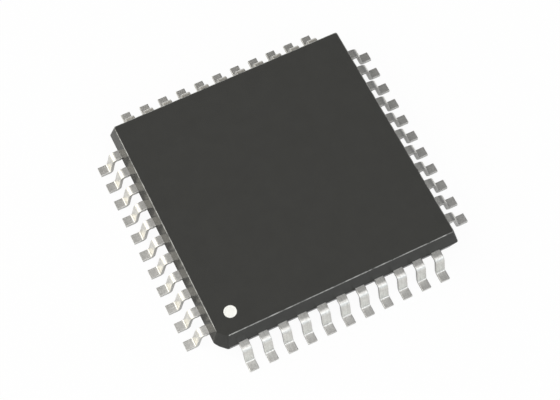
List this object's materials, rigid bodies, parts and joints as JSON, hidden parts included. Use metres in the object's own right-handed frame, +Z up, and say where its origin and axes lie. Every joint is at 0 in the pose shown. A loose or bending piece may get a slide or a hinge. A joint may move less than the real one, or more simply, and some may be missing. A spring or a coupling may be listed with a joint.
{
  "type": "analog-to-digital converter chip in a quad flat package",
  "caption": "Thin square moulded chip package with gull-wing leads on all four sides, a white dot at the bevelled pin 1 corner, and the die, wires and lead frame inside.",
  "frame": {"origin": "middle of the package on the board's surface, under the feet", "axes": "+Z up from the board; -Y is the side with pins 1 to 11, counted from -X to +X, and the other pins follow round by +X, +Y and -X"},
  "size_m": [0.0118, 0.0118, 0.0016],
  "materials": {
    "mould_compound": "matte black epoxy mould compound with a fine spark-eroded grain",
    "white_ink": "white marking ink",
    "tin_plating": "satin matte-tin plating on copper alloy",
    "copper_alloy": "bare rolled copper alloy",
    "die_adhesive": "cured silver-filled epoxy film",
    "silicon": "polished silicon",
    "gold_wire": "drawn gold"
  },
  "bodies": {
    "root": {"mould_body": "mould_compound", "pin_one_mark": "white_ink", "die_paddle": "copper_alloy", "die_attach": "die_adhesive", "silicon_die": "silicon", "bond_wires": "gold_wire", "lead_01": "tin_plating", "lead_02": "tin_plating", "lead_03": "tin_plating", "lead_04": "tin_plating", "lead_05": "tin_plating", "lead_06": "tin_plating", "lead_07": "tin_plating", "lead_08": "tin_plating", "lead_09": "tin_plating", "lead_10": "tin_plating", "lead_11": "tin_plating", "lead_12": "tin_plating", "lead_13": "tin_plating", "lead_14": "tin_plating", "lead_15": "tin_plating", "lead_16": "tin_plating", "lead_17": "tin_plating", "lead_18": "tin_plating", "lead_19": "tin_plating", "lead_20": "tin_plating", "lead_21": "tin_plating", "lead_22": "tin_plating", "lead_23": "tin_plating", "lead_24": "tin_plating", "lead_25": "tin_plating", "lead_26": "tin_plating", "lead_27": "tin_plating", "lead_28": "tin_plating", "lead_29": "tin_plating", "lead_30": "tin_plating", "lead_31": "tin_plating", "lead_32": "tin_plating", "lead_33": "tin_plating", "lead_34": "tin_plating", "lead_35": "tin_plating", "lead_36": "tin_plating", "lead_37": "tin_plating", "lead_38": "tin_plating", "lead_39": "tin_plating", "lead_40": "tin_plating", "lead_41": "tin_plating", "lead_42": "tin_plating", "lead_43": "tin_plating", "lead_44": "tin_plating"}
  },
  "joints": []
}
